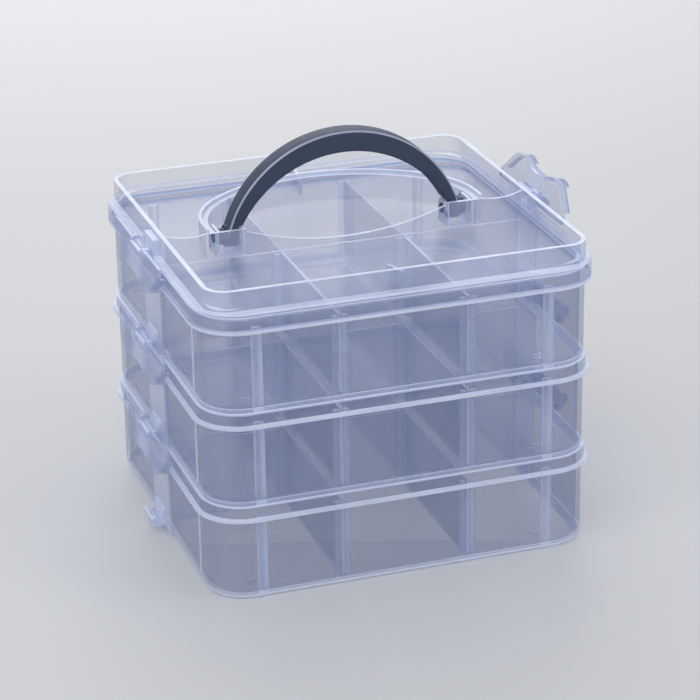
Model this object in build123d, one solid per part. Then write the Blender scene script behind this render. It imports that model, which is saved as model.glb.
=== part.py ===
"""Three-tier storage box: stacking trays, removable dividers, side latches, lid and folding handle.

Millimetres. +Z is up, +X is to the right and +Y to the back. The origin is the centre of the
underside of the bottom tray, where the box rests.
"""

import os
from math import acos, atan2, cos, hypot, sin, sqrt

from build123d import *

# Outline of the stack
OUTER_W = 157.0  # tray flange and lid skirt, side to side
OUTER_D = 150.0  # tray flange and lid skirt, front to back
CORNER_R = 18.0  # corner of the flange and of the skirt
TRAY_PITCH = 37.4  # height that each tray adds to the stack
TRAY_LEVELS = ("bottom", "middle", "top")

# Tray wall
FLANGE_T = 1.3  # thickness of the flange
FLANGE_OUT = 1.6  # how far the flange stands out from the upstand
FLANGE_DROP = 4.4  # height of the upstand above the flange
UPSTAND_T = 1.5  # wall of the upstand, which takes the next foot
NEST = 1.2  # how deep one tray sits in the next
LEDGE_W = 1.2  # ledge inside the upstand, where the next foot rests
FOOT_H = 2.9  # height of the inset foot
FOOT_IN = 1.0  # how far the foot is set in from the wall
FOOT_BEVEL = 0.9  # bevel of the foot's lower edge
FLOOR_T = 1.4  # floor of a tray
FLOOR_BEVEL = 2.0  # bevel where the floor meets the walls
NEST_GAP = 0.4  # room round the foot in the upstand

# Inside a tray
DIVIDER_X = 25.1  # divider plates and their slots from the middle
MIDWALL_T = 1.6  # fixed wall across the middle
MIDWALL_TOP = 34.2  # its height above the tray's underside
DIVIDER_T = 1.3  # removable divider plate
SLOT_GAP = 0.15  # room each side of a divider in its slot
RAIL_W = 2.2  # one rib of a slotted rail, side to side
RAIL_OUT = 1.8  # how far a rail stands out from its wall
RAIL_TOP = 33.6  # height of the rails above the tray's underside
DIVIDER_END_GAP = 0.3  # room at each end of a divider
COLUMN_RIB_W = 4.2  # rib inside the front and back walls
COLUMN_RIB_OUT = 1.9
COLUMN_RIB_BEVEL = 1.2
COLUMN_RIB_IN = 21.5  # its place, in from the flange edge

# Outside a tray
PILASTER_W = 24.0  # upright band in the middle of each side
PILASTER_OUT = 0.9  # how far it stands out from the wall
BEAD_IN = 21.5  # thin upright bead on each side wall, in from the flange edge
BEAD_W = 1.0
BEAD_OUT = 0.4
BEAD_FOOT = 5.5  # height of the bead's lower end

# Latch and its hinge cradle
HINGE_OUT = 1.9  # hinge line, outboard of the flange edge
HINGE_RISE = 10.3  # hinge line above the underside of the flange it hooks
HINGE_PIN_R = 1.5
HINGE_GAP = 0.08  # running clearance round the pin
CRADLE_WALL = 1.0
CRADLE_W = 12.8  # cradle, front to back
CRADLE_LIP = 0.8  # how far the cradle's lips rise above the hinge line
CRADLE_BACK_H = 4.2  # how far the cradle's back web rises above the hinge line
LATCH_W = 63.0  # latch plate at its hinge, front to back
LATCH_T = 1.4
LATCH_OUT = 0.7  # inner face of the plate, outboard of the hinge line
LATCH_TOP = 1.7  # plate above the hinge line
LATCH_SIDE = 1.5  # straight end of the plate below the hinge line
LOBE_Y = 15.8  # tip of each lobe from the middle
LOBE_DROP = 12.2  # tip of a lobe below the hinge line
LOBE_R = 10.0
VALLEY_DROP = 9.4  # edge between the lobes below the hinge line
HOOK_GAP = 0.3  # hook below the flange when the latch is snapped shut
HOOK_BITE = 1.3  # how far the hook reaches in under the flange
LIP_REACH = 2.3  # lip along the wavy edge, in from the plate
LIP_T = 1.2
WINDOW_W = 13.6  # window in the plate round the cradle
WINDOW_DROP = 3.4
KNUCKLE_R = 2.2
KNUCKLE_END = 10.0  # outer end of a knuckle from the middle
LATCH_AJAR = 9.0  # degrees: a latch hanging free of the flange
LATCH_OPEN = 165.0  # degrees: a latch swung up, leaning a little outwards

# Lid
SKIRT_H = 6.9  # skirt above the tray flange
SKIRT_T = 1.3
LID_T = 1.4  # shoulder, panel and walls
RIM_H = 7.6  # raised rim above the shoulder
RIM_IN = 3.9  # rim's outer face, in from the skirt
RIM_R = 9.0  # corner of the rim
RIM_T = 1.8  # thickness of the rim
PANEL_RISE = 2.5  # upper face of the recessed panel above the flange
PLUG_GAP = 0.3  # room round the lid's plug inside the tray
WELL_SIDE_GAP = 0.7  # room between a socket and the curved wall of the well
WELL_END_GAP = 5.4  # room between the folded handle and the curved wall
WELL_WALL_T = 2.4  # curved wall at the back of the well
WELL_SIDE_T = 3.6  # curved wall beside a socket
WELL_LIP_T = 1.2  # lip round the outside of the curved wall's top
WELL_SIDE_R = 38.0  # bend of the curved wall beside each socket
CROSS_WALL_GAP = 0.4  # room between the raised handle and the wall across the lid
CROSS_WALL_T = 1.5
SCOOP_IN = 0.7  # end of the finger scoop, inboard of the socket
SCOOP_END_DROP = 2.6
SCOOP_MID_H = 2.3  # cross wall above the panel at the middle
WEB_SAG = 2.2  # dip in the cross wall between socket and rim, below the rim
SOCKET_ROOM = 3.0  # room for the handle's boss in the socket
SOCKET_T = 1.2
SOCKET_DROP = 1.6  # top of the sockets, and of the ledge inside the well's lip, below the rim
SOCKET_BACK_Y = 7.0
GUSSET_L = 18.0  # stiffening rib in the middle of the rim, front and back
GUSSET_END_H = 7.0

# Handle
HANDLE_AXIS_DROP = 5.5  # handle's pins below the top of the rim
ARCH_H = 37.4  # top of the arch above the pins
HANDLE_OUTER_R = 49.0
ARCH_CLOSING = 2.1  # how much smaller the inner arc's radius is
HANDLE_T = 8.3  # thickness at the middle of the arch
HANDLE_W = 8.6  # front to back
HANDLE_EDGE = 0.6
HUB_T = 4.6  # thickness of the foot at the pin
HANDLE_PIN_R = 2.0
HANDLE_GAP = 0.08  # running clearance round the pin
HANDLE_SIDE_GAP = 0.5  # room between hub and socket
CHEEK_R = 4.2  # round top of the socket's inner cheek
BOSS_R = 3.2
PIN_PROUD = 0.4  # pin beyond the socket's cheek

# Levels and widths that follow from the sizes above
TRAY_H = TRAY_PITCH + NEST
FLANGE_TOP = TRAY_H - FLANGE_DROP
FLANGE_Z = FLANGE_TOP - FLANGE_T
UPSTAND_IN = FLANGE_OUT  # upstand's outer face, in from the flange edge
BORE_IN = UPSTAND_IN + UPSTAND_T  # inner face of the upstand
FOOT_EDGE_IN = BORE_IN + NEST_GAP  # outer face of the foot
WALL_IN = FOOT_EDGE_IN - FOOT_IN  # outer face of the wall
CAVITY_IN = BORE_IN + LEDGE_W  # inner face of the wall
SIDE_X = OUTER_W / 2
FRONT_Y = OUTER_D / 2
WALL_MID_IN = (WALL_IN + CAVITY_IN) / 2  # middle of the wall's thickness
HINGE_X = SIDE_X + HINGE_OUT
CAVITY_D = OUTER_D - 2 * CAVITY_IN
PILASTER_X = SIDE_X - WALL_IN + PILASTER_OUT
HINGE_Z = FLANGE_Z + HINGE_RISE - TRAY_PITCH  # hinge line above a tray's underside
STACK_TOP = TRAY_PITCH * (len(TRAY_LEVELS) - 1)  # underside of the top tray
LID_SEAT = STACK_TOP + FLANGE_TOP
SHOULDER_TOP = LID_SEAT + SKIRT_H
RIM_TOP = SHOULDER_TOP + RIM_H
LID_HINGE_Z = STACK_TOP + FLANGE_Z + HINGE_RISE
PANEL_TOP = LID_SEAT + PANEL_RISE
SOCKET_TOP = RIM_TOP - SOCKET_DROP
HANDLE_AXIS_Z = RIM_TOP - HANDLE_AXIS_DROP
HANDLE_TOP = HANDLE_AXIS_Z + ARCH_H
HUB_OUT_X = sqrt(HANDLE_OUTER_R**2 - (HANDLE_OUTER_R - ARCH_H) ** 2)
HUB_IN_X = HUB_OUT_X - HUB_T
CHEEK_IN_X = HUB_IN_X - HANDLE_SIDE_GAP  # face of the socket's inner cheek
SOCKET_OUT_X = HUB_OUT_X + SOCKET_ROOM  # inner face of the socket's outer cheek
WELL_HALF_W = SOCKET_OUT_X + SOCKET_T + WELL_SIDE_GAP + WELL_SIDE_T
WELL_DEPTH = ARCH_H + WELL_END_GAP + WELL_WALL_T
CROSS_WALL_Y = -HANDLE_W / 2 - CROSS_WALL_GAP  # rear face of the wall across the lid
SCOOP_END_X = CHEEK_IN_X - SOCKET_T - SCOOP_IN

SIDES = {"left": -1, "right": 1}
PART_DIR = "parts"


def block(x0, x1, y0, y1, z0, z1):
    """Box between two corners."""
    centre = Pos((x0 + x1) / 2, (y0 + y1) / 2, (z0 + z1) / 2)
    return centre * Box(abs(x1 - x0), abs(y1 - y0), abs(z1 - z0))


def outline(inset, z, corner=CORNER_R):
    """Rounded rectangle, set in from the flange edge, at one height."""
    radius = max(corner - inset, 1.0)
    return Pos(0, 0, z) * RectangleRounded(OUTER_W - 2 * inset, OUTER_D - 2 * inset, radius)


def slab(inset, z0, z1, corner=CORNER_R):
    """Upright rounded block from one height to another."""
    return extrude(outline(inset, z0, corner), z1 - z0)


def both_sides(solid):
    """The piece and its mirror image across the box."""
    return solid + mirror(solid, Plane.YZ)


def front_and_back(solid):
    """The piece and its mirror image at the back of the box."""
    return solid + mirror(solid, Plane.XZ)


def rod_y(radius, y0, y1, x, z):
    """Round bar along Y."""
    bar = Rot(90, 0, 0) * Cylinder(radius, abs(y1 - y0))
    return Pos(x, (y0 + y1) / 2, z) * bar


def rod_x(radius, x0, x1, y, z):
    """Round bar along X."""
    bar = Rot(0, 90, 0) * Cylinder(radius, abs(x1 - x0))
    return Pos((x0 + x1) / 2, y, z) * bar


def tray_shell():
    """Foot, wall, flange and upstand, hollowed out with a bevelled floor."""
    foot = slab(FOOT_EDGE_IN, 0, FOOT_H)
    foot = chamfer(foot.faces().sort_by(Axis.Z)[0].edges(), FOOT_BEVEL)
    wall = slab(WALL_IN, FOOT_H, FLANGE_Z)
    flange = slab(0, FLANGE_Z, FLANGE_TOP)
    upstand = slab(UPSTAND_IN, FLANGE_TOP, TRAY_H)
    cavity = slab(CAVITY_IN, FLOOR_T, TRAY_PITCH)
    cavity = chamfer(cavity.faces().sort_by(Axis.Z)[0].edges(), FLOOR_BEVEL)
    bore = slab(BORE_IN, TRAY_PITCH, TRAY_H)
    return foot + wall + flange + upstand - cavity - bore


def slotted_rail(x, y_wall, toward):
    """Pair of upright ribs that hold the end of a divider plate."""
    half_slot = DIVIDER_T / 2 + SLOT_GAP
    half_pair = half_slot + RAIL_W
    y_root = y_wall - toward * MIDWALL_T / 2
    y_face = y_wall + toward * RAIL_OUT
    pair = block(x - half_pair, x + half_pair, y_root, y_face, FLOOR_T / 2, RAIL_TOP)
    return pair - block(x - half_slot, x + half_slot, y_wall, y_face, FLOOR_T, RAIL_TOP)


def column_rib(x):
    """Bevelled upright rib on the inside of the front wall."""
    half = COLUMN_RIB_W / 2
    face_y = COLUMN_RIB_OUT - CAVITY_D / 2
    rib = block(x - half, x + half, WALL_MID_IN - FRONT_Y, face_y, FLOOR_T / 2, RAIL_TOP)
    return chamfer(rib.edges().filter_by(Axis.Z).group_by(Axis.Y)[-1], COLUMN_RIB_BEVEL)


def tray_inside():
    """Fixed wall across the middle with rails, and ribs inside the front and back walls."""
    half_w = SIDE_X - WALL_MID_IN
    inside = block(-half_w, half_w, -MIDWALL_T / 2, MIDWALL_T / 2, FLOOR_T / 2, MIDWALL_TOP)
    for x in (-DIVIDER_X, DIVIDER_X):
        for side in (-1, 1):
            inside += slotted_rail(x, side * CAVITY_D / 2, -side)
            inside += slotted_rail(x, side * MIDWALL_T / 2, side)
    for x in (COLUMN_RIB_IN - SIDE_X, SIDE_X - COLUMN_RIB_IN):
        inside += front_and_back(column_rib(x))
    return inside


def cradle(hinge_z, root_x):
    """Snap-in hinge cradle on the right side: a trough with narrow lips and a web behind it."""
    half = CRADLE_W / 2
    trough_r = HINGE_PIN_R + HINGE_GAP
    shell_r = trough_r + CRADLE_WALL
    lip_z = hinge_z + CRADLE_LIP
    body = rod_y(shell_r, -half, half, HINGE_X, hinge_z)
    body += block(HINGE_X - shell_r, HINGE_X + shell_r, -half, half, hinge_z, lip_z)
    body -= block(HINGE_X - shell_r, HINGE_X + shell_r, -half, half, lip_z, lip_z + shell_r)
    body += block(root_x, HINGE_X - trough_r, -half, half, hinge_z - shell_r, lip_z)
    with BuildSketch(Plane.XZ) as side_view:
        with BuildLine():
            Polyline(
                (root_x, hinge_z),
                (HINGE_X - trough_r, hinge_z),
                (HINGE_X - trough_r, lip_z),
                (PILASTER_X + CRADLE_WALL / 2, hinge_z + CRADLE_BACK_H),
                (root_x, hinge_z + CRADLE_BACK_H),
                close=True,
            )
        make_face()
    body += extrude(side_view.sketch, half, both=True)
    return body - rod_y(trough_r, -half, half, HINGE_X, hinge_z)


def tray_outside():
    """Pilaster, beads and hinge cradle on the right side wall."""
    wall_x = SIDE_X - WALL_MID_IN
    half = PILASTER_W / 2
    side = block(wall_x, PILASTER_X, -half, half, NEST + HOOK_GAP, FLANGE_Z)
    side = fillet(side.edges().filter_by(Axis.Z).sort_by(Axis.X)[-2:], PILASTER_OUT * 0.8)
    side -= slab(FOOT_EDGE_IN, 0, FOOT_H)
    bead_face = SIDE_X - WALL_IN + BEAD_OUT
    bead_y = FRONT_Y - BEAD_IN
    for y in (-bead_y, bead_y):
        side += block(wall_x, bead_face, y - BEAD_W / 2, y + BEAD_W / 2, BEAD_FOOT, FLANGE_Z)
    return side + cradle(HINGE_Z, wall_x)


def make_tray():
    """One complete tray, standing on its own foot."""
    room = slab(CAVITY_IN, FLOOR_T, TRAY_PITCH)
    fittings = both_sides(tray_outside() - room)
    return (tray_shell() + tray_inside() + fittings).solid()


def make_divider():
    """Removable plate between the front wall and the middle wall, in the right-hand slot."""
    y_front = -(CAVITY_D / 2 - DIVIDER_END_GAP)
    y_back = -(MIDWALL_T / 2 + DIVIDER_END_GAP)
    plate = block(
        DIVIDER_X - DIVIDER_T / 2, DIVIDER_X + DIVIDER_T / 2, y_front, y_back, FLOOR_T, MIDWALL_TOP
    )
    front_edges = plate.edges().filter_by(Axis.X).group_by(Axis.Y)[0]
    return chamfer(front_edges.sort_by(Axis.Z)[0], FLOOR_BEVEL).solid()


def latch_outline():
    """Latch plate seen from the side, with the hinge line at zero and the lobes below it."""
    half = LATCH_W / 2
    lobe_z = LOBE_R - LOBE_DROP
    rise = lobe_z + VALLEY_DROP
    valley_r = (LOBE_Y**2 + rise**2 - LOBE_R**2) / (2 * (LOBE_R - rise))
    share = LOBE_R / (LOBE_R + valley_r)
    meet_y = LOBE_Y * (1 - share)
    meet_z = lobe_z - share * (valley_r + rise)
    reach_y = half - LOBE_Y
    reach_z = -LATCH_SIDE - lobe_z
    turn = atan2(reach_z, reach_y) - acos(LOBE_R / hypot(reach_y, reach_z))
    leave_y = LOBE_Y + LOBE_R * cos(turn)
    leave_z = lobe_z + LOBE_R * sin(turn)
    with BuildSketch(Plane.YZ) as face:
        with BuildLine():
            ThreePointArc((-meet_y, meet_z), (0, -VALLEY_DROP), (meet_y, meet_z))
            ThreePointArc((meet_y, meet_z), (LOBE_Y, -LOBE_DROP), (leave_y, leave_z))
            Polyline((leave_y, leave_z), (half, -LATCH_SIDE), (half, LATCH_TOP))
            Line((half, LATCH_TOP), (-half, LATCH_TOP))
            Polyline((-half, LATCH_TOP), (-half, -LATCH_SIDE), (-leave_y, leave_z))
            ThreePointArc((-leave_y, leave_z), (-LOBE_Y, -LOBE_DROP), (-meet_y, meet_z))
        make_face()
    return face.sketch


def latch_band(profile, x0, x1):
    """The profile as a plate between two distances from the hinge line."""
    return Pos(x0, 0, 0) * extrude(profile, x1 - x0, dir=(1, 0, 0))


def make_latch():
    """Right-hand latch, snapped shut, with its hinge line on the Y axis."""
    profile = latch_outline()
    latch = latch_band(profile, LATCH_OUT, LATCH_OUT + LATCH_T)
    inside = Pos(0, 0, LIP_T) * profile
    lip_below = block(-HINGE_X, HINGE_X, -LATCH_W, LATCH_W, -2 * LOBE_DROP, -LATCH_SIDE - LIP_T)
    latch += latch_band(profile - inside, LATCH_OUT - LIP_REACH, LATCH_OUT) & lip_below
    hook_top = -(HINGE_RISE + HOOK_GAP)
    hook_reach = HINGE_X - SIDE_X + HOOK_BITE
    hook_zone = block(-HINGE_X, HINGE_X, -LATCH_W, LATCH_W, -2 * LOBE_DROP, hook_top)
    latch += latch_band(profile, -hook_reach, LATCH_OUT) & hook_zone
    window = WINDOW_W / 2
    latch -= block(-HINGE_X, HINGE_X, -window, window, -WINDOW_DROP, LATCH_TOP)
    for side in (-1, 1):
        latch += rod_y(KNUCKLE_R, side * window, side * KNUCKLE_END, 0, 0)
    latch += rod_y(HINGE_PIN_R, -KNUCKLE_END, KNUCKLE_END, 0, 0)
    return latch.solid()


def hang_latch(latch, side, hinge_z, opened):
    """Put the latch on its hinge line at one side, swung open by an angle."""
    placed = Pos(HINGE_X, 0, hinge_z) * Rot(0, -opened, 0) * latch
    if side < 0:
        placed = mirror(placed, Plane.YZ)
    return placed


def cross_wall():
    """Wall across the lid: webs at the rim, socket fronts and a finger scoop in the middle."""
    end_x = SIDE_X - RIM_IN - RIM_T / 2
    web_x = WELL_HALF_W
    scoop_top = RIM_TOP - SCOOP_END_DROP
    with BuildSketch(Plane.XZ) as face:
        with BuildLine():
            web_mid = (end_x + web_x) / 2
            Line((-end_x, PANEL_TOP - LID_T / 2), (end_x, PANEL_TOP - LID_T / 2))
            Line((end_x, PANEL_TOP - LID_T / 2), (end_x, RIM_TOP))
            ThreePointArc((end_x, RIM_TOP), (web_mid, RIM_TOP - WEB_SAG), (web_x, SOCKET_TOP))
            Polyline((web_x, SOCKET_TOP), (SCOOP_END_X, SOCKET_TOP), (SCOOP_END_X, scoop_top))
            ThreePointArc(
                (SCOOP_END_X, scoop_top), (0, PANEL_TOP + SCOOP_MID_H), (-SCOOP_END_X, scoop_top)
            )
            Polyline((-SCOOP_END_X, scoop_top), (-SCOOP_END_X, SOCKET_TOP), (-web_x, SOCKET_TOP))
            ThreePointArc((-web_x, SOCKET_TOP), (-web_mid, RIM_TOP - WEB_SAG), (-end_x, RIM_TOP))
            Line((-end_x, RIM_TOP), (-end_x, PANEL_TOP - LID_T / 2))
        make_face()
    return Pos(0, CROSS_WALL_Y, 0) * extrude(face.sketch, CROSS_WALL_T, dir=(0, -1, 0))


def well_plan(side_inset, back_inset):
    """Plan of the handle well: an oval of three arcs with straight sides at the sockets."""
    half_w = WELL_HALF_W - side_inset
    depth = WELL_DEPTH - back_inset
    side_r = WELL_SIDE_R - back_inset
    side_x = half_w - side_r
    back_r = (side_x**2 + depth**2 - side_r**2) / (2 * (depth - side_r))
    turn = atan2(back_r - depth, side_x)
    meet_x = back_r * cos(turn)
    meet_y = depth - back_r + back_r * sin(turn)
    bend_x = side_x + side_r * cos(turn / 2)
    bend_y = side_r * sin(turn / 2)
    front_y = CROSS_WALL_Y - CROSS_WALL_T / 2
    with BuildSketch() as plan:
        with BuildLine():
            Polyline((-half_w, 0), (-half_w, front_y), (half_w, front_y), (half_w, 0))
            ThreePointArc((half_w, 0), (bend_x, bend_y), (meet_x, meet_y))
            ThreePointArc((meet_x, meet_y), (0, depth), (-meet_x, meet_y))
            ThreePointArc((-meet_x, meet_y), (-bend_x, bend_y), (-half_w, 0))
        make_face()
    return plan.sketch


def well_wall():
    """Curved wall behind the handle, from socket to socket, with a ledge inside its lip."""
    z0 = PANEL_TOP - LID_T / 2
    wall = Pos(0, 0, z0) * extrude(well_plan(0, 0), RIM_TOP - z0)
    wall -= Pos(0, 0, SOCKET_TOP) * extrude(well_plan(WELL_LIP_T, WELL_LIP_T), SOCKET_DROP)
    return wall - Pos(0, 0, z0) * extrude(well_plan(WELL_SIDE_T, WELL_WALL_T), RIM_TOP - z0)


def socket():
    """Two cheeks that hold the handle's right foot, with holes for its stub pins."""
    z0 = PANEL_TOP - LID_T / 2
    y0 = CROSS_WALL_Y - CROSS_WALL_T / 2
    cheeks = block(CHEEK_IN_X - SOCKET_T, CHEEK_IN_X, y0, CHEEK_R, z0, HANDLE_AXIS_Z)
    cheeks += rod_x(CHEEK_R, CHEEK_IN_X - SOCKET_T, CHEEK_IN_X, 0, HANDLE_AXIS_Z)
    outer = block(SOCKET_OUT_X, SOCKET_OUT_X + SOCKET_T, y0, SOCKET_BACK_Y, z0, SOCKET_TOP)
    top_back = outer.edges().filter_by(Axis.X).group_by(Axis.Z)[-1].sort_by(Axis.Y)[-1]
    cheeks += fillet(top_back, SOCKET_BACK_Y / 2)
    hole = rod_x(HANDLE_PIN_R + HANDLE_GAP, CHEEK_IN_X - 2 * SOCKET_T, SIDE_X, 0, HANDLE_AXIS_Z)
    return cheeks - hole


def rim_gusset():
    """Stiffening rib from the front rim into the panel."""
    y_wall = -(FRONT_Y - RIM_IN - RIM_T / 2)
    z0 = PANEL_TOP - LID_T / 2
    with BuildSketch(Plane.YZ) as face:
        with BuildLine():
            Polyline(
                (y_wall, z0),
                (y_wall, RIM_TOP - LID_T),
                (y_wall + GUSSET_L, PANEL_TOP + GUSSET_END_H),
                (y_wall + GUSSET_L, z0),
                close=True,
            )
        make_face()
    return extrude(face.sketch, LID_T / 2, both=True)


def lid_body():
    """Raised rim above the shoulder and the plug below it, before the recess is cut."""
    rim = slab(RIM_IN, SHOULDER_TOP - LID_T, RIM_TOP, RIM_R + RIM_IN)
    return rim + slab(CAVITY_IN + PLUG_GAP, PANEL_TOP - LID_T, SHOULDER_TOP - LID_T / 2)


def lid_skirt():
    """Skirt over the top tray's upstand, with the bevelled shoulder above it."""
    skirt = slab(0, LID_SEAT, SHOULDER_TOP)
    skirt = chamfer(skirt.faces().sort_by(Axis.Z)[-1].edges(), LID_T / 2)
    return skirt - slab(SKIRT_T, LID_SEAT, SHOULDER_TOP - LID_T)


def make_lid():
    """The whole lid, in its place on the stack."""
    body = lid_body()
    inset = RIM_IN + RIM_T
    recess = slab(inset, PANEL_TOP, SHOULDER_TOP) + slab(inset, SHOULDER_TOP, RIM_TOP, RIM_R + RIM_IN)
    fittings = cross_wall() + well_wall() + both_sides(socket()) + front_and_back(rim_gusset())
    root_x = SIDE_X - RIM_IN - RIM_T / 2
    lid = lid_skirt() + body - recess + (fittings & body)
    return (lid + both_sides(cradle(LID_HINGE_Z, root_x))).solid()


def make_handle():
    """Crescent arch with a round hub, a boss and two stub pins at each foot."""
    outer_z = HANDLE_TOP - HANDLE_OUTER_R
    inner_r = HANDLE_OUTER_R - ARCH_CLOSING
    inner_z = HANDLE_TOP - HANDLE_T - inner_r
    arch = Pos(0, 0, outer_z) * Rot(90, 0, 0) * Cylinder(HANDLE_OUTER_R, HANDLE_W)
    arch -= Pos(0, 0, inner_z) * Rot(90, 0, 0) * Cylinder(inner_r, 2 * HANDLE_W)
    arch &= block(-OUTER_W, OUTER_W, -HANDLE_W, HANDLE_W, HANDLE_AXIS_Z, HANDLE_TOP)
    round_edges = arch.edges().filter_by(GeomType.CIRCLE)
    arch = chamfer(round_edges, HANDLE_EDGE)
    notch_top = HANDLE_AXIS_Z + CHEEK_R + HANDLE_SIDE_GAP
    arch -= block(-HUB_IN_X, HUB_IN_X, -HANDLE_W, HANDLE_W, HANDLE_AXIS_Z, notch_top)
    foot = rod_x(HANDLE_W / 2, HUB_IN_X, HUB_OUT_X, 0, HANDLE_AXIS_Z)
    foot += rod_x(BOSS_R, HUB_OUT_X, SOCKET_OUT_X - HANDLE_SIDE_GAP, 0, HANDLE_AXIS_Z)
    pin_in = CHEEK_IN_X - SOCKET_T - PIN_PROUD
    pin_out = SOCKET_OUT_X + SOCKET_T + PIN_PROUD
    foot += rod_x(HANDLE_PIN_R, pin_in, pin_out, 0, HANDLE_AXIS_Z)
    return (arch + both_sides(foot)).solid()


def divider_nodes(level, base_z):
    """Four divider plates of one tray, named by their place in it."""
    plate = make_divider()
    nodes = {}
    for row in ("front", "back"):
        for side in SIDES:
            placed = plate if row == "front" else mirror(plate, Plane.XZ)
            if side == "left":
                placed = mirror(placed, Plane.YZ)
            nodes[f"{level}_divider_{row}_{side}"] = Pos(0, 0, base_z) * placed
    return nodes


def build():
    """Every piece of the box by its name, at rest."""
    nodes = {}
    tray = make_tray()
    latch = make_latch()
    for step, level in enumerate(TRAY_LEVELS):
        base_z = step * TRAY_PITCH
        nodes[f"{level}_tray"] = Pos(0, 0, base_z) * tray
        nodes.update(divider_nodes(level, base_z))
        if step == 0:
            continue
        for side, sign in SIDES.items():
            nodes[f"{level}_latch_{side}"] = hang_latch(latch, sign, base_z + HINGE_Z, LATCH_AJAR)
    nodes["lid"] = make_lid()
    nodes["lid_latch_left"] = hang_latch(latch, SIDES["left"], LID_HINGE_Z, LATCH_AJAR)
    nodes["lid_latch_right"] = hang_latch(latch, SIDES["right"], LID_HINGE_Z, LATCH_OPEN)
    nodes["handle"] = make_handle()
    return nodes


def main():
    os.makedirs(PART_DIR, exist_ok=True)
    for name, solid in build().items():
        solid.label = name
        export_step(solid, f"{PART_DIR}/{name}.step")


main()
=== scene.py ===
"""Looks of the tiered storage box: clear moulded plastic, a slate handle, a pale studio and the camera."""

from math import cos, hypot, radians, sin

import bmesh
import bpy
from mathutils import Matrix, Vector

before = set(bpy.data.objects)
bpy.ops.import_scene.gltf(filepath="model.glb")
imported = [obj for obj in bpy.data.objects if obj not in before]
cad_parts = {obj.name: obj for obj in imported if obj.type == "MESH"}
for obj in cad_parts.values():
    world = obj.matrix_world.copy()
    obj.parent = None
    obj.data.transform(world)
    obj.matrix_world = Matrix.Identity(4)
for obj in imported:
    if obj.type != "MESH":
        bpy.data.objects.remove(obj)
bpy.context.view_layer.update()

# Camera, in metres and degrees: where it looks, from how far and at what angle
CAM_AIM = Vector((0.0, 0.0, 0.065))
CAM_YAW = 18.67
CAM_PITCH = 22.62
CAM_ROLL = -0.86
CAM_DISTANCE = 1.060
CAM_SHIFT_RIGHT = 0.0023
CAM_SHIFT_DOWN = 0.00115
CAM_NEAR = 0.05
CAM_FAR = 100.0
FOCAL_PX = 2685.4
IMAGE_PX = 700.0

# Colours, as linear values
CLEAR_FACE = (0.24, 0.30, 0.50)
LID_FACE = (0.36, 0.43, 0.65)
# The next colour is a half-bright painted highlight on the trim faces, and also the paler tone of the
# denser plastic zones.
CLEAR_TRIM = (0.60, 0.67, 0.88)
# The next colour is painted highlight: bright edges, the glints on the floor marks and the highlight
# lines.
CLEAR_HIGHLIGHT = (0.70, 0.76, 0.94)
# The next colour is the painted highlight on the latches' edges and trim.
LATCH_HIGHLIGHT = (0.46, 0.53, 0.78)
HANDLE_FACE = (0.036, 0.054, 0.098)
# The next colour is a painted highlight on the handle's front outer edge.
HANDLE_HIGHLIGHT = (0.34, 0.39, 0.50)
FLOOR = (0.66, 0.665, 0.675)
SKY = (0.93, 0.95, 1.0)

# Clear plastics: colour, alpha from in front, alpha along the face, and roughness
CLEAR_PLASTICS = {
    # Edge rows are painted highlights, trim rows half-bright painted highlights; face rows are the plain
    # plastic.
    "clear_edge_highlight": (CLEAR_HIGHLIGHT, 0.78, 0.95, 0.4),
    "tray_face": (CLEAR_FACE, 0.125, 0.55, 0.2),
    "tray_trim": (CLEAR_TRIM, 0.42, 0.75, 0.25),
    "lid_face": (LID_FACE, 0.09, 0.38, 0.32),
    "lid_trim": (CLEAR_TRIM, 0.32, 0.66, 0.3),
    "latch_face": (LID_FACE, 0.12, 0.46, 0.2),
    "latch_trim": (LATCH_HIGHLIGHT, 0.45, 0.8, 0.2),
    "latch_edge_highlight": (LATCH_HIGHLIGHT, 0.75, 0.95, 0.3),
}
CLEAR_IOR = 1.49
FACING_BLEND = 0.35  # how soon a wall turns dense as it is seen more along its face
SHADOW_SHARE = 0.4  # share of the alpha that throws a shadow

# Coloured plastics: colour and roughness
SLATE_PLASTICS = {
    "handle_face": (HANDLE_FACE, 0.6),
    # The edge row is a painted highlight, not a second plastic.
    "handle_edge_highlight": (HANDLE_HIGHLIGHT, 0.3),
}
SLATE_IOR = 1.5

# Noise in the plastics: scale and detail
CLEAR_TONE = (38.0, 3.0)
CLEAR_CLOUDS = (45.0, 4.0)
CLEAR_SATIN = (220.0, 3.0)
CLEAR_RIPPLE = (28.0, 1.5)
SLATE_TONE = (90.0, 5.0)
SLATE_GRAIN = (2400.0, 3.0)
NOISE_ROUGHNESS = 0.55
NOISE_SPAN = (0.3, 0.7)  # values of the noise between which most of it lies

# What the noise changes: lowest and highest share of the colour and of the roughness
CLEAR_TONES = (0.93, 1.07)
CLEAR_SATINS = (0.8, 1.25)
CLEAR_HAZE = 0.15  # haze, as a share of the alpha from in front
SLATE_TONES = (0.88, 1.14)
SLATE_SATINS = (0.85, 1.2)

# Bumps: strength, and depth in metres
CLEAR_BUMP = (0.05, 0.0003)
SLATE_BUMP = (0.10, 0.00006)

EDGE_ROUND = 0.00015  # rounding of the moulded edges
EDGE_STEPS = 2
EDGE_ANGLE = radians(38)  # sharper edges than this are rounded
MERGE = 1e-6
SMOOTH = radians(18)  # neighbours below this angle belong to one face of the moulding
# Faces below these widths get painted highlights: bright on edges, half-bright on trim.
EDGE_WIDTH = 0.00165  # moulded faces up to this width are bright edges
LID_EDGE_WIDTH = 0.0019  # the same on the lid, where the rim's top is one
TRIM_WIDTH = 0.0031  # and up to this width, half-bright trim

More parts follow.
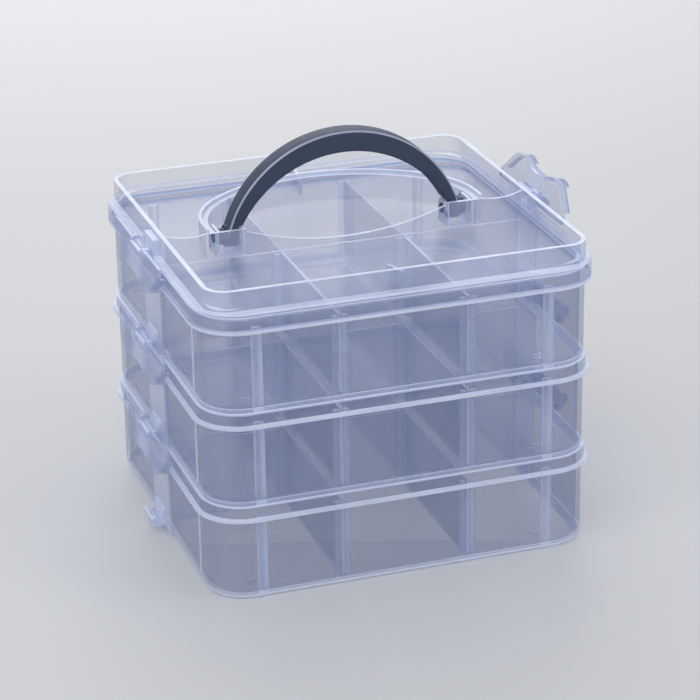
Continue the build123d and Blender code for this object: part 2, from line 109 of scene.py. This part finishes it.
# Zones of denser plastic: distance from the middle plane, then Y and Z, in metres
HINGE_ZONE = ((0.0743, 0.0900), (-0.0122, 0.0122), (-0.0010, 0.1290))
LATCH_ZONE = ((0.0700, 0.0950), (-0.0090, 0.0090), (-0.0050, 0.1330))
# The rim of the next box outside the socket's field carries a painted highlight line.
SOCKET_ZONE = ((0.0413, 0.0520), (-0.0070, -0.0040), (0.1118, 0.1230))
SOCKET_FIELD = ((0.0419, 0.0514), (-0.0075, -0.0035), (0.1124, 0.1236))
ZONE_SOFT = 0.0002  # half the width of the change at a zone's edge
LATCH_SOFT = 0.004  # the same for the latches

# Moulding marks on the tray floors, with a painted glint on each: their middle, their radius and half the
# line's width
MARK_X = 0.0580
MARK_Y = -0.0575
MARK_R = 0.0014
MARK_T = 0.0005

# Painted highlight line along the foot, which is bevelled below
FOOT_LINE = 0.0016  # its top
FOOT_SLOPE = (0.4, 0.6)  # upward share of the normal at which a face stops being a wall

# What each zone adds to the alpha
HINGE_DENSER = 0.24
LATCH_DENSER = 0.2
MARK_GLINT_ALPHA = 0.9
FOOT_HIGHLIGHT_ALPHA = 0.6
SOCKET_DENSER = 0.18
SOCKET_HIGHLIGHT_ALPHA = 0.7

# Floor: its size and roughness, and how far out it turns to an even glow
FLOOR_SIZE = 40.0
FLOOR_ROUGHNESS = 0.6
GLOW_START = 0.4
GLOW_FULL = 2.4
FLOOR_GLOW = 0.34

# Sky: how strongly it lights the box and how bright it looks
SKY_LIGHT = 0.5
SKY_SEEN = 0.68

# Lamps: place, width and height in metres, and power in watts
LAMP_AIM = (0.0, 0.0, 0.07)
LAMPS = {
    "key": ((-0.7, -0.6, 1.1), 1.1, 1.1, 6.9),
    "fill": ((1.0, -0.7, 0.6), 0.8, 0.8, 3.6),
    "back": ((0.2, 1.1, 0.7), 1.0, 0.5, 5.4),
}

# Arch of the handle, for placing its painted highlight line: its centre's height and where its front outer
# edge begins
ARCH_Z = 0.1064
ARCH_EDGE_R = 0.0476
ARCH_FRONT_Y = -0.0035

MAX_CLEAR_LAYERS = 64


def node_tree(name):
    """A new material with an empty node tree and its output."""
    material = bpy.data.materials.new(name)
    material.use_nodes = True
    tree = material.node_tree
    tree.nodes.clear()
    output = tree.nodes.new("ShaderNodeOutputMaterial")
    return material, tree, output


def add(tree, kind, **values):
    """A node with its settings and the values of its sockets."""
    node = tree.nodes.new(kind)
    for key, value in values.items():
        name = key.replace("_", " ")
        if name in node.inputs:
            node.inputs[name].default_value = value
        else:
            setattr(node, key, value)
    return node


def noise(tree, grain):
    """Noise of a scale and detail, in the object's own coordinates."""
    scale, detail = grain
    coords = add(tree, "ShaderNodeTexCoord")
    texture = add(tree, "ShaderNodeTexNoise", Scale=scale, Detail=detail, Roughness=NOISE_ROUGHNESS)
    tree.links.new(coords.outputs["Object"], texture.inputs["Vector"])
    return texture.outputs["Fac"]


def spread(tree, source, low, high, from_low=0.0, from_high=1.0):
    """A value moved to a new range."""
    node = add(tree, "ShaderNodeMapRange")
    node.inputs["From Min"].default_value = from_low
    node.inputs["From Max"].default_value = from_high
    node.inputs["To Min"].default_value = low
    node.inputs["To Max"].default_value = high
    tree.links.new(source, node.inputs["Value"])
    return node.outputs["Result"]


def combined(tree, operation, first, second):
    """Two values joined by an operation, kept from 0 to 1."""
    node = add(tree, "ShaderNodeMath", operation=operation, use_clamp=True)
    tree.links.new(first, node.inputs[0])
    tree.links.new(second, node.inputs[1])
    return node.outputs[0]


def times(tree, first, second):
    """Product of two values, kept from 0 to 1."""
    return combined(tree, "MULTIPLY", first, second)


def plus(tree, first, second):
    """Sum of two values, kept from 0 to 1."""
    return combined(tree, "ADD", first, second)


def size_of(tree, value):
    """A value without its sign."""
    node = add(tree, "ShaderNodeMath", operation="ABSOLUTE")
    tree.links.new(value, node.inputs[0])
    return node.outputs[0]


def position(tree):
    """Distance from the middle plane, and Y and Z, in the object's own coordinates."""
    coords = add(tree, "ShaderNodeTexCoord")
    split = add(tree, "ShaderNodeSeparateXYZ")
    tree.links.new(coords.outputs["Object"], split.inputs[0])
    return size_of(tree, split.outputs["X"]), split.outputs["Y"], split.outputs["Z"]


def zone(tree, limits, soft=ZONE_SOFT):
    """1 inside a box and its mirror image across the middle plane, and 0 outside."""
    inside = None
    for value, (low, high) in zip(position(tree), limits):
        rising = spread(tree, value, 0.0, 1.0, low - soft, low + soft)
        falling = spread(tree, value, 1.0, 0.0, high - soft, high + soft)
        both = times(tree, rising, falling)
        inside = both if inside is None else times(tree, inside, both)
    return inside


def outside(tree, mask):
    """The reverse of a mask."""
    return spread(tree, mask, 1.0, 0.0)


def moulding_mark_glints(tree):
    """1 on a small half ring on each side of the tray floors, where a glint is painted, and 0 elsewhere.
    """
    across, along, _ = position(tree)
    point = add(tree, "ShaderNodeCombineXYZ")
    tree.links.new(across, point.inputs["X"])
    tree.links.new(along, point.inputs["Y"])
    reach = add(tree, "ShaderNodeVectorMath", operation="DISTANCE")
    reach.inputs[1].default_value = (MARK_X, MARK_Y, 0.0)
    tree.links.new(point.outputs[0], reach.inputs[0])
    inner = spread(tree, reach.outputs["Value"], 0.0, 1.0, MARK_R - MARK_T, MARK_R)
    outer = spread(tree, reach.outputs["Value"], 1.0, 0.0, MARK_R, MARK_R + MARK_T)
    front = spread(tree, along, 1.0, 0.0, MARK_Y, MARK_Y + MARK_T)
    return times(tree, times(tree, inner, outer), front)


def foot_highlight(tree):
    """1 on the lowest part of the outer walls, where a highlight line is painted, and 0 elsewhere."""
    height = position(tree)[2]
    geometry = add(tree, "ShaderNodeNewGeometry")
    split = add(tree, "ShaderNodeSeparateXYZ")
    tree.links.new(geometry.outputs["Normal"], split.inputs[0])
    upright = spread(tree, size_of(tree, split.outputs["Z"]), 1.0, 0.0, *FOOT_SLOPE)
    low = spread(tree, height, 1.0, 0.0, FOOT_LINE, FOOT_LINE + ZONE_SOFT)
    return times(tree, upright, low)


def tinted(tree, base, alpha, mask, colour, extra):
    """Colour and alpha, changed where the mask is, both for denser plastic and for painted highlights."""
    mix = add(tree, "ShaderNodeMix", data_type="RGBA")
    mix.inputs["B"].default_value = (*colour, 1.0)
    tree.links.new(base, mix.inputs["A"])
    tree.links.new(mask, mix.inputs["Factor"])
    return mix.outputs["Result"], plus(tree, alpha, spread(tree, mask, 0.0, extra))


def shaded(tree, colour, grain, shares):
    """A colour that varies between two shares of itself."""
    mix = add(tree, "ShaderNodeMix", data_type="RGBA")
    for socket, share in zip("AB", shares):
        mix.inputs[socket].default_value = (*[c * share for c in colour], 1.0)
    tree.links.new(noise(tree, grain), mix.inputs["Factor"])
    return mix.outputs["Result"]


def bump(tree, height, depth):
    """A normal that follows a height; depth is its strength and its distance."""
    strength, distance = depth
    node = add(tree, "ShaderNodeBump", Strength=strength, Distance=distance)
    tree.links.new(height, node.inputs["Height"])
    return node.outputs["Normal"]


def satin(tree, source, roughness, shares):
    """A roughness that varies between two shares of itself."""
    low, high = (roughness * share for share in shares)
    return spread(tree, source, low, high, *NOISE_SPAN)


def clear_alpha(tree, face_alpha, rim_alpha):
    """Alpha of a clear wall: thin from in front, dense along its face, and a little cloudy."""
    facing = add(tree, "ShaderNodeLayerWeight", Blend=FACING_BLEND)
    alpha = spread(tree, facing.outputs["Facing"], face_alpha, rim_alpha)
    haze = CLEAR_HAZE * face_alpha
    return plus(tree, alpha, spread(tree, noise(tree, CLEAR_CLOUDS), -haze, haze, *NOISE_SPAN))


def clear_plastic(name, part):
    """See-through plastic with the denser zones and painted highlights of what it is for: tray, lid, latch
    or edge.
    """
    colour, face_alpha, rim_alpha, roughness = CLEAR_PLASTICS[name]
    material, tree, output = node_tree(name)
    shader = add(tree, "ShaderNodeBsdfPrincipled", IOR=CLEAR_IOR)
    base = shaded(tree, colour, CLEAR_TONE, CLEAR_TONES)
    alpha = clear_alpha(tree, face_alpha, rim_alpha)
    if part in ("tray", "lid"):
        base, alpha = tinted(tree, base, alpha, zone(tree, HINGE_ZONE), CLEAR_TRIM, HINGE_DENSER)
    if part == "latch":
        middle = zone(tree, LATCH_ZONE, LATCH_SOFT)
        base, alpha = tinted(tree, base, alpha, middle, CLEAR_TRIM, LATCH_DENSER)
    if part == "tray":
        # Painted glint on the moulding marks of the floors.
        base, alpha = tinted(tree, base, alpha, moulding_mark_glints(tree), CLEAR_HIGHLIGHT, MARK_GLINT_ALPHA)
        # Painted highlight line along the foot.
        base, alpha = tinted(tree, base, alpha, foot_highlight(tree), CLEAR_HIGHLIGHT, FOOT_HIGHLIGHT_ALPHA)
    if part == "lid":
        field = zone(tree, SOCKET_FIELD)
        # Painted highlight line around the socket's frosted field.
        frame_highlight = times(tree, zone(tree, SOCKET_ZONE), outside(tree, field))
        base, alpha = tinted(tree, base, alpha, field, CLEAR_TRIM, SOCKET_DENSER)
        base, alpha = tinted(tree, base, alpha, frame_highlight, CLEAR_HIGHLIGHT, SOCKET_HIGHLIGHT_ALPHA)
    rays = add(tree, "ShaderNodeLightPath")
    alpha = times(tree, alpha, spread(tree, rays.outputs["Is Shadow Ray"], 1.0, SHADOW_SHARE))
    rough = satin(tree, noise(tree, CLEAR_SATIN), roughness, CLEAR_SATINS)
    normal = bump(tree, noise(tree, CLEAR_RIPPLE), CLEAR_BUMP)
    tree.links.new(base, shader.inputs["Base Color"])
    tree.links.new(alpha, shader.inputs["Alpha"])
    tree.links.new(rough, shader.inputs["Roughness"])
    tree.links.new(normal, shader.inputs["Normal"])
    tree.links.new(shader.outputs["BSDF"], output.inputs["Surface"])
    return material


def slate_plastic(name):
    """Satin coloured plastic with a fine moulded grain."""
    colour, roughness = SLATE_PLASTICS[name]
    material, tree, output = node_tree(name)
    shader = add(tree, "ShaderNodeBsdfPrincipled", IOR=SLATE_IOR)
    grain = noise(tree, SLATE_GRAIN)
    tree.links.new(shaded(tree, colour, SLATE_TONE, SLATE_TONES), shader.inputs["Base Color"])
    tree.links.new(satin(tree, grain, roughness, SLATE_SATINS), shader.inputs["Roughness"])
    tree.links.new(bump(tree, grain, SLATE_BUMP), shader.inputs["Normal"])
    tree.links.new(shader.outputs["BSDF"], output.inputs["Surface"])
    return material


def moulded_faces(mesh):
    """The mesh's polygons in groups, each one smooth face of the moulding, with its mean width."""
    form = bmesh.new()
    form.from_mesh(mesh)
    tag = form.faces.layers.int.new("polygon")
    for face in form.faces:
        face[tag] = face.index
    bmesh.ops.remove_doubles(form, verts=form.verts, dist=MERGE)
    form.normal_update()
    form.faces.ensure_lookup_table()
    seen_faces = set()
    groups = []
    for start in form.faces:
        if start.index in seen_faces:
            continue
        seen_faces.add(start.index)
        queue = [start]
        members = []
        area = 0.0
        border = 0.0
        while queue:
            face = queue.pop()
            members.append(face[tag])
            area += face.calc_area()
            for edge in face.edges:
                flat = len(edge.link_faces) == 2 and edge.calc_face_angle(0.0) < SMOOTH
                if not flat:
                    border += edge.calc_length()
                    continue
                for other in edge.link_faces:
                    if other.index not in seen_faces:
                        seen_faces.add(other.index)
                        queue.append(other)
        groups.append((members, 2.0 * area / max(border, MERGE)))
    form.free()
    return groups


def rounded(piece, slot):
    """Round the piece's sharp edges a little; the rounding takes the material in a slot."""
    weld = piece.modifiers.new("join", "WELD")
    weld.merge_threshold = MERGE
    bevel = piece.modifiers.new("rounding", "BEVEL")
    bevel.width = EDGE_ROUND
    bevel.segments = EDGE_STEPS
    bevel.limit_method = "ANGLE"
    bevel.angle_limit = EDGE_ANGLE
    bevel.material = slot
    bevel.harden_normals = True


def dress_clear(piece, face, trim, edge, edge_width=EDGE_WIDTH):
    """Give a clear piece its plastic, with a painted highlight on its narrow faces and rounded edges."""
    for material in (face, trim, edge):
        piece.data.materials.append(material)
    for members, width in moulded_faces(piece.data):
        # Narrow faces get the painted highlight (slot 2), slightly wider ones the half-bright painted
        # highlight (slot 1).
        slot = 2 if width < edge_width else 1 if width < TRIM_WIDTH else 0
        for index in members:
            piece.data.polygons[index].material_index = slot
    rounded(piece, 2)


def dress_handle(piece, face, edge):
    """Give the handle its plastic, with a painted highlight line along the arch's front outer edge."""
    for material in (face, edge):
        piece.data.materials.append(material)
    for members, width in moulded_faces(piece.data):
        if width > EDGE_WIDTH:
            continue
        for index in members:
            x, y, z = piece.data.polygons[index].center
            if y < ARCH_FRONT_Y and hypot(x, z - ARCH_Z) > ARCH_EDGE_R:
                piece.data.polygons[index].material_index = 1
    rounded(piece, -1)


def dress_pieces():
    """Materials for every piece of the box."""
    edge = clear_plastic("clear_edge_highlight", "edge")
    trays = [clear_plastic("tray_face", "tray"), clear_plastic("tray_trim", "tray"), edge]
    lid = [clear_plastic("lid_face", "lid"), clear_plastic("lid_trim", "lid"), edge]
    latches = [clear_plastic(name, "latch") for name in ("latch_face", "latch_trim", "latch_edge_highlight")]
    handle = [slate_plastic("handle_face"), slate_plastic("handle_edge_highlight")]
    for name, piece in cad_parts.items():
        piece.data.materials.clear()
        if name == "handle":
            dress_handle(piece, *handle)
        elif name == "lid":
            dress_clear(piece, *lid, LID_EDGE_WIDTH)
        elif "latch" in name:
            dress_clear(piece, *latches)
        else:
            dress_clear(piece, *trays)


def seen(tree):
    """1 for rays from the camera, off a gloss or through glass, and 0 for the light itself."""
    rays = add(tree, "ShaderNodeLightPath")
    others = plus(tree, rays.outputs["Is Glossy Ray"], rays.outputs["Is Transmission Ray"])
    return plus(tree, rays.outputs["Is Camera Ray"], others)


def make_floor():
    """Plain pale floor that runs far behind the box, with an even tone where no lamp reaches."""
    material, tree, output = node_tree("floor")
    shader = add(tree, "ShaderNodeBsdfPrincipled", Roughness=FLOOR_ROUGHNESS)
    shader.inputs["Base Color"].default_value = (*FLOOR, 1.0)
    coords = add(tree, "ShaderNodeTexCoord")
    reach = add(tree, "ShaderNodeVectorMath", operation="LENGTH")
    tree.links.new(coords.outputs["Object"], reach.inputs[0])
    glow = spread(tree, reach.outputs["Value"], 0.0, FLOOR_GLOW, GLOW_START, GLOW_FULL)
    tree.links.new(times(tree, seen(tree), glow), shader.inputs["Emission Strength"])
    tree.links.new(shader.outputs["BSDF"], output.inputs["Surface"])
    bpy.ops.mesh.primitive_plane_add(size=FLOOR_SIZE, location=(0, 0, 0))
    floor = bpy.context.object
    floor.name = "floor"
    floor.data.materials.append(material)


def make_lamp(name, place, width, height, power):
    """Soft rectangular lamp that points at the box."""
    data = bpy.data.lights.new(name, "AREA")
    data.shape = "RECTANGLE"
    data.size = width
    data.size_y = height
    data.energy = power
    lamp = bpy.data.objects.new(name, data)
    bpy.context.scene.collection.objects.link(lamp)
    lamp.location = place
    lamp.rotation_euler = (Vector(LAMP_AIM) - Vector(place)).to_track_quat("-Z", "Y").to_euler()


def make_light():
    """Pale sky and three soft lamps."""
    world = bpy.data.worlds.new("studio")
    bpy.context.scene.world = world
    world.use_nodes = True
    tree = world.node_tree
    background = tree.nodes["Background"]
    background.inputs["Color"].default_value = (*SKY, 1.0)
    strength = spread(tree, seen(tree), SKY_LIGHT, SKY_SEEN)
    tree.links.new(strength, background.inputs["Strength"])
    for name, values in LAMPS.items():
        make_lamp(name, *values)


def make_camera():
    """Camera at the photograph's angle."""
    yaw = radians(CAM_YAW)
    pitch = radians(CAM_PITCH)
    roll = radians(CAM_ROLL)
    ahead = Vector((sin(yaw) * cos(pitch), cos(yaw) * cos(pitch), -sin(pitch)))
    level = Vector((cos(yaw), -sin(yaw), 0.0))
    upright = level.cross(ahead)
    right = cos(roll) * level + sin(roll) * upright
    up = -sin(roll) * level + cos(roll) * upright
    data = bpy.data.cameras.new("camera")
    data.lens = FOCAL_PX / IMAGE_PX * data.sensor_width
    data.clip_start = CAM_NEAR
    data.clip_end = CAM_FAR
    camera = bpy.data.objects.new("camera", data)
    bpy.context.scene.collection.objects.link(camera)
    spot = CAM_AIM + CAM_SHIFT_RIGHT * right - CAM_SHIFT_DOWN * up - CAM_DISTANCE * ahead
    turn = Matrix((right, up, -ahead)).transposed().to_4x4()
    camera.matrix_world = Matrix.Translation(spot) @ turn
    bpy.context.scene.camera = camera


dress_pieces()
make_floor()
make_light()
make_camera()
bpy.context.scene.view_settings.view_transform = "Standard"
bpy.context.scene.cycles.transparent_max_bounces = MAX_CLEAR_LAYERS
